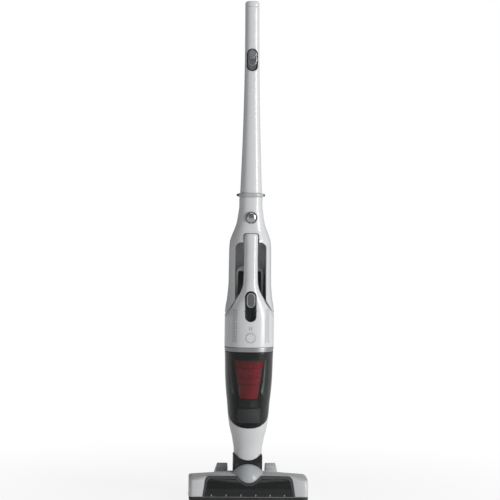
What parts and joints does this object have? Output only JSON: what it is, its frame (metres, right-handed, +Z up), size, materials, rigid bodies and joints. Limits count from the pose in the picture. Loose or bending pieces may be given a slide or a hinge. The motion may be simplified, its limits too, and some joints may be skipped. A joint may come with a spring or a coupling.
{
  "type": "cordless stick vacuum",
  "caption": "Upright battery stick vacuum: wide floor head on a tilting, leaning neck, see-through dust cup, lift-out hand unit in an arch frame, slim handle.",
  "frame": {"origin": "on the floor under the middle of the bounding box", "axes": "+Z up along the stick, -Y the front of the floor head, +X to the right seen from the front"},
  "size_m": [0.258, 0.15, 1.095],
  "materials": {
    "head_base": "satin moulded",
    "head_cover": "satin gloss",
    "brush_window": "smoky transparent",
    "head_dome": "gloss",
    "front_bumper": "matt",
    "lint_strip": "short pile",
    "head_duct": "matt",
    "brush_roll": "bristle rows on a moulded core",
    "brush_shaft": "turned",
    "brush_pulley": "matt",
    "brush_bearing_left": "ground",
    "brush_bearing_right": "ground",
    "drive_belt": "matt",
    "brush_motor": "plated can",
    "motor_pulley": "matt",
    "wheel_housing_left": "satin",
    "wheel_housing_right": "satin",
    "rear_wheel_left": "matt",
    "rear_wheel_right": "matt",
    "rear_axle_left": "ground",
    "rear_axle_right": "ground",
    "front_roller_left": "matt",
    "front_roller_right": "matt",
    "trunnion_left": "ground",
    "trunnion_right": "ground",
    "yoke": "satin gloss",
    "lean_pin": "ground",
    "lower_neck": "gloss",
    "frame_front": "gloss",
    "frame_back": "gloss",
    "spine_screw": "plated",
    "collar": "gloss",
    "dock_plate": "matt",
    "charge_contact_left": "plated",
    "charge_contact_right": "plated",
    "release_button": "silver, polished",
    "release_spring": "drawn wire",
    "handle_button_left": "matt",
    "handle_button_right": "matt",
    "handle_tube": "gloss",
    "handle_cap": "gloss",
    "switch_bezel": "satin",
    "handle_switch": "silver, polished",
    "switch_board": "lacquered board",
    "handheld_front": "gloss",
    "handheld_rear": "gloss",
    "battery_pack": "gloss black",
    "slider_track": "gloss dark green-black",
    "power_slider": "silver, polished",
    "control_board": "lacquered board",
    "cup_button": "gloss",
    "suction_motor": "plated can",
    "motor_mount": "matt",
    "fan_impeller": "moulded",
    "dust_cup": "smoky transparent",
    "cup_ring": "silver satin",
    "cyclone_cone": "red gloss",
    "cone_base": "satin",
    "inlet_duct": "satin",
    "cup_filter": "pleated paper"
  },
  "bodies": {
    "floor_head": {"head_base": "head_base", "head_cover": "head_cover", "brush_window": "brush_window", "head_dome": "head_dome", "front_bumper": "front_bumper", "lint_strip": "lint_strip", "head_duct": "head_duct", "brush_bearing_left": "brush_bearing_left", "brush_bearing_right": "brush_bearing_right", "drive_belt": "drive_belt", "brush_motor": "brush_motor", "wheel_housing_left": "wheel_housing_left", "wheel_housing_right": "wheel_housing_right", "rear_axle_left": "rear_axle_left", "rear_axle_right": "rear_axle_right", "trunnion_left": "trunnion_left", "trunnion_right": "trunnion_right"},
    "brush": {"brush_roll": "brush_roll", "brush_shaft": "brush_shaft", "brush_pulley": "brush_pulley"},
    "motor_drive": {"motor_pulley": "motor_pulley"},
    "rear_wheel_left": {"rear_wheel_left": "rear_wheel_left"},
    "rear_wheel_right": {"rear_wheel_right": "rear_wheel_right"},
    "front_roller_left": {"front_roller_left": "front_roller_left"},
    "front_roller_right": {"front_roller_right": "front_roller_right"},
    "yoke": {"yoke": "yoke", "lean_pin": "lean_pin"},
    "stick": {"lower_neck": "lower_neck", "frame_front": "frame_front", "frame_back": "frame_back", "spine_screw": "spine_screw", "collar": "collar", "dock_plate": "dock_plate", "charge_contact_left": "charge_contact_left", "charge_contact_right": "charge_contact_right", "release_spring": "release_spring"},
    "release_button": {"release_button": "release_button"},
    "handle_button_left": {"handle_button_left": "handle_button_left"},
    "handle_button_right": {"handle_button_right": "handle_button_right"},
    "handle": {"handle_tube": "handle_tube", "handle_cap": "handle_cap", "switch_bezel": "switch_bezel", "switch_board": "switch_board"},
    "handle_switch": {"handle_switch": "handle_switch"},
    "handheld": {"handheld_front": "handheld_front", "handheld_rear": "handheld_rear", "battery_pack": "battery_pack", "suction_motor": "suction_motor", "motor_mount": "motor_mount", "control_board": "control_board", "slider_track": "slider_track"},
    "fan": {"fan_impeller": "fan_impeller"},
    "power_slider": {"power_slider": "power_slider"},
    "cup_button": {"cup_button": "cup_button"},
    "cup": {"dust_cup": "dust_cup", "cup_ring": "cup_ring", "cyclone_cone": "cyclone_cone", "cone_base": "cone_base", "inlet_duct": "inlet_duct", "cup_filter": "cup_filter"}
  },
  "joints": [
    {"name": "brush_spin", "type": "hinge", "parent": "floor_head", "child": "brush", "pos_m": [0, -0.0485, 0.0215], "axis": [1, 0, 0], "continuous": true},
    {"name": "motor_spin", "type": "hinge", "parent": "floor_head", "child": "motor_drive", "pos_m": [0, -0.004, 0.03], "axis": [1, 0, 0], "continuous": true},
    {"name": "rear_wheel_left_spin", "type": "hinge", "parent": "floor_head", "child": "rear_wheel_left", "pos_m": [-0.0565, 0.0575, 0.015], "axis": [1, 0, 0], "continuous": true},
    {"name": "rear_wheel_right_spin", "type": "hinge", "parent": "floor_head", "child": "rear_wheel_right", "pos_m": [0.0565, 0.0575, 0.015], "axis": [1, 0, 0], "continuous": true},
    {"name": "front_roller_left_spin", "type": "hinge", "parent": "floor_head", "child": "front_roller_left", "pos_m": [-0.086, -0.014, 0.006], "axis": [1, 0, 0], "continuous": true},
    {"name": "front_roller_right_spin", "type": "hinge", "parent": "floor_head", "child": "front_roller_right", "pos_m": [0.086, -0.014, 0.006], "axis": [1, 0, 0], "continuous": true},
    {"name": "pitch", "type": "hinge", "parent": "floor_head", "child": "yoke", "pos_m": [0, 0.022, 0.034], "axis": [-1, 0, 0], "range_deg": [0, 80]},
    {"name": "lean", "type": "hinge", "parent": "yoke", "child": "stick", "pos_m": [0, 0.022, 0.121], "axis": [0, 1, 0], "range_deg": [-55, 55]},
    {"name": "release_press", "type": "slide", "parent": "stick", "child": "release_button", "axis": [0, 1, 0], "range_m": [0, 0.003], "stiffness_N_per_m": 400, "springref_m": -0.002, "deforming": ["release_spring"]},
    {"name": "handle_button_left_press", "type": "slide", "parent": "stick", "child": "handle_button_left", "axis": [1, 0, 0], "range_m": [0, 0.0022], "stiffness_N_per_m": 300, "springref_m": -0.001},
    {"name": "handle_button_right_press", "type": "slide", "parent": "stick", "child": "handle_button_right", "axis": [-1, 0, 0], "range_m": [0, 0.0022], "stiffness_N_per_m": 300, "springref_m": -0.001},
    {"name": "handle_lift", "type": "slide", "parent": "stick", "child": "handle", "axis": [0, 0, 1], "range_m": [0, 0.06]},
    {"name": "handle_switch_slide", "type": "slide", "parent": "handle", "child": "handle_switch", "axis": [0, -0.1468, -0.9892], "range_m": [0, 0.01]},
    {"name": "handheld_out", "type": "slide", "parent": "stick", "child": "handheld", "axis": [0, -1, 0], "range_m": [0, 0.14]},
    {"name": "fan_spin", "type": "hinge", "parent": "handheld", "child": "fan", "pos_m": [0, -0.007, 0.345], "axis": [0, 0, 1], "continuous": true},
    {"name": "power_slide", "type": "slide", "parent": "handheld", "child": "power_slider", "axis": [0, 0, -1], "range_m": [0, 0.024]},
    {"name": "cup_button_press", "type": "slide", "parent": "handheld", "child": "cup_button", "axis": [0, 1, 0], "range_m": [0, 0.0025], "stiffness_N_per_m": 400, "springref_m": -0.002},
    {"name": "cup_out", "type": "slide", "parent": "handheld", "child": "cup", "axis": [0, -1, 0], "range_m": [0, 0.12]}
  ],
  "couplings": [
    {"joint": "motor_spin", "follows": "brush_spin", "ratio": 1.8333}
  ]
}
